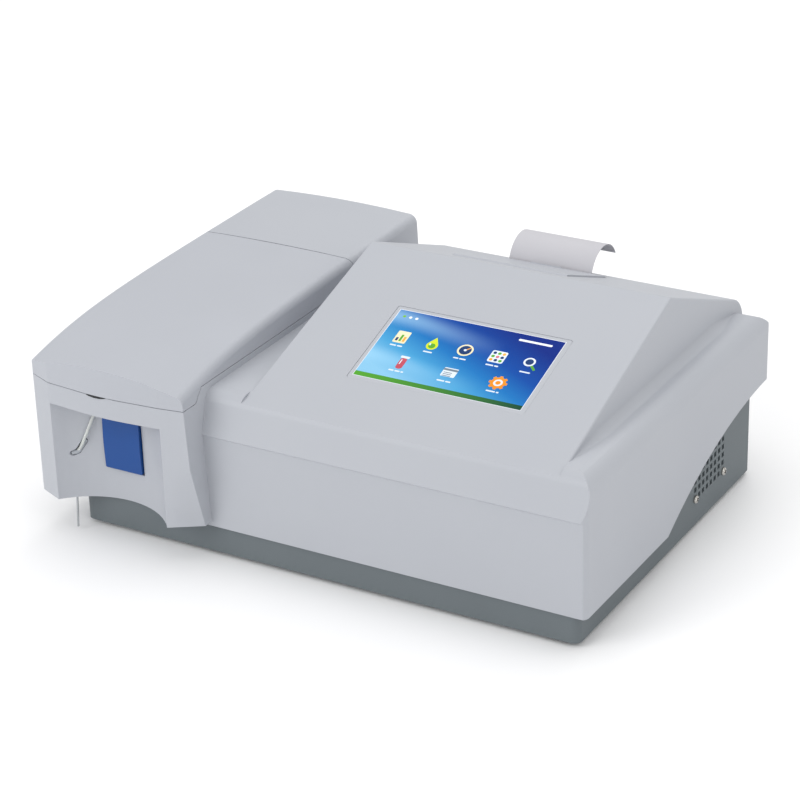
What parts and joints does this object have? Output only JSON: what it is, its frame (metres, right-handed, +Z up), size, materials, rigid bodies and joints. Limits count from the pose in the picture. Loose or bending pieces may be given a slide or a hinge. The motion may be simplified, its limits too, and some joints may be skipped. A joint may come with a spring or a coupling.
{
  "type": "benchtop chemistry analyzer",
  "caption": "Semi-automatic benchtop chemistry analyzer: sloped touchscreen console, paper printer behind it, hinged flow-cell lid, sipper needle and blue aspirate key.",
  "frame": {"origin": "middle of the overall width and depth, on the table under the feet", "axes": "+X to the right seen from the front, +Y to the rear, +Z up"},
  "size_m": [0.438, 0.34, 0.181],
  "materials": {
    "shell": "fine satin moulded, light cool grey",
    "base": "slate grey powder coat",
    "key_blue": "satin moulded blue",
    "screen_glass": "polished cover glass over a lit display",
    "dark_plastic": "black moulded",
    "grey_plastic": "moulded grey",
    "rubber": "matte",
    "steel": "plain",
    "nickel": "nickel plated",
    "aluminium": "machined",
    "board": "solder resist",
    "paper": "thermal paper, matte",
    "optic": "polished",
    "tubing": "translucent silicone",
    "brass": "turned"
  },
  "bodies": {
    "chassis": {"base_screws": "nickel", "base_tray": "base", "compartment_tray": "grey_plastic", "condenser_lens": "optic", "detector_board": "board", "display_bracket": "grey_plastic", "fan_frame": "dark_plastic", "fan_screws": "nickel", "filter_wheel_motor": "steel", "flow_cell": "optic", "flow_cell_block": "aluminium", "halogen_lamp": "optic", "key_bracket": "grey_plastic", "key_spring": "steel", "key_switch": "dark_plastic", "lamp_housing": "aluminium", "lcd_module": "steel", "lens_holder": "dark_plastic", "lid_hinge_pins": "steel", "lid_hinge_posts": "grey_plastic", "main_board": "board", "needle_holder": "grey_plastic", "optical_bench": "aluminium", "paper_strip": "paper", "power_inlet": "dark_plastic", "power_supply": "aluminium", "print_head": "aluminium", "printer_chassis": "grey_plastic", "printer_lid_pins": "steel", "printer_motor": "steel", "pump_housing": "grey_plastic", "pump_motor": "steel", "pump_tube": "tubing", "rear_panel": "base", "rear_panel_screws": "nickel", "rubber_feet": "rubber", "serial_port": "nickel", "sipper_needle": "steel", "sipper_tube": "tubing", "switch_body": "dark_plastic", "touch_glass": "screen_glass", "upper_shell": "shell", "usb_port": "nickel", "waste_nipple": "brass", "waste_tube": "tubing"},
    "flow_cell_lid": {"flow_cell_lid": "shell"},
    "printer_lid": {"printer_lid": "shell"},
    "aspirate_key": {"aspirate_key": "key_blue"},
    "fan_rotor": {"fan_rotor": "dark_plastic"},
    "paper_roll": {"paper_roll": "paper"},
    "platen": {"platen_roller": "rubber", "platen_gear": "grey_plastic"},
    "pinion": {"motor_pinion": "brass"},
    "pump_rotor": {"pump_rotor": "aluminium"},
    "pump_roller_1": {"pump_roller_1": "grey_plastic"},
    "pump_roller_2": {"pump_roller_2": "grey_plastic"},
    "pump_roller_3": {"pump_roller_3": "grey_plastic"},
    "filter_wheel": {"filter_wheel": "dark_plastic", "interference_filters": "optic"},
    "rocker": {"power_rocker": "dark_plastic"}
  },
  "joints": [
    {"name": "lid_hinge", "type": "hinge", "parent": "chassis", "child": "flow_cell_lid", "pos_m": [-0.15, 0.058, 0.1448], "axis": [-1, 0, 0], "range_deg": [0, 75]},
    {"name": "printer_lid_hinge", "type": "hinge", "parent": "chassis", "child": "printer_lid", "pos_m": [0.055, 0.066, 0.16567], "axis": [1, 0, 0], "range_deg": [0, 80]},
    {"name": "key_press", "type": "slide", "parent": "chassis", "child": "aspirate_key", "axis": [0, 1, 0], "range_m": [0, 0.003], "stiffness_N_per_m": 400, "springref_m": -0.001, "deforming": ["key_spring"]},
    {"name": "fan_spin", "type": "hinge", "parent": "chassis", "child": "fan_rotor", "pos_m": [0.203, 0.0735, 0.05], "axis": [1, 0, 0], "continuous": true},
    {"name": "roll_spin", "type": "hinge", "parent": "chassis", "child": "paper_roll", "pos_m": [0.055, 0.096, 0.122], "axis": [1, 0, 0], "continuous": true},
    {"name": "platen_spin", "type": "hinge", "parent": "chassis", "child": "platen", "pos_m": [0.055, 0.121, 0.135], "axis": [1, 0, 0], "continuous": true},
    {"name": "pinion_spin", "type": "hinge", "parent": "chassis", "child": "pinion", "pos_m": [0.109, 0.11241, 0.138], "axis": [1, 0, 0], "continuous": true},
    {"name": "pump_spin", "type": "hinge", "parent": "chassis", "child": "pump_rotor", "pos_m": [-0.118, -0.078, 0.111], "axis": [0, 0, 1], "continuous": true},
    {"name": "pump_roller_1_spin", "type": "hinge", "parent": "pump_rotor", "child": "pump_roller_1", "pos_m": [-0.118, -0.067, 0.111], "axis": [0, 0, 1], "continuous": true},
    {"name": "pump_roller_2_spin", "type": "hinge", "parent": "pump_rotor", "child": "pump_roller_2", "pos_m": [-0.12753, -0.0835, 0.111], "axis": [0, 0, 1], "continuous": true},
    {"name": "pump_roller_3_spin", "type": "hinge", "parent": "pump_rotor", "child": "pump_roller_3", "pos_m": [-0.10847, -0.0835, 0.111], "axis": [0, 0, 1], "continuous": true},
    {"name": "filter_wheel_spin", "type": "hinge", "parent": "chassis", "child": "filter_wheel", "pos_m": [-0.15, 0.062, 0.0685], "axis": [0, 1, 0], "continuous": true},
    {"name": "rocker_tilt", "type": "hinge", "parent": "chassis", "child": "rocker", "pos_m": [0.118, 0.1515, 0.038], "axis": [0, 0, 1], "range_deg": [0, 18]}
  ],
  "couplings": [
    {"joint": "platen_spin", "follows": "roll_spin", "ratio": 4},
    {"joint": "pinion_spin", "follows": "roll_spin", "ratio": -8},
    {"joint": "pump_roller_1_spin", "follows": "pump_spin", "ratio": -3.619},
    {"joint": "pump_roller_2_spin", "follows": "pump_spin", "ratio": -3.619},
    {"joint": "pump_roller_3_spin", "follows": "pump_spin", "ratio": -3.619}
  ]
}
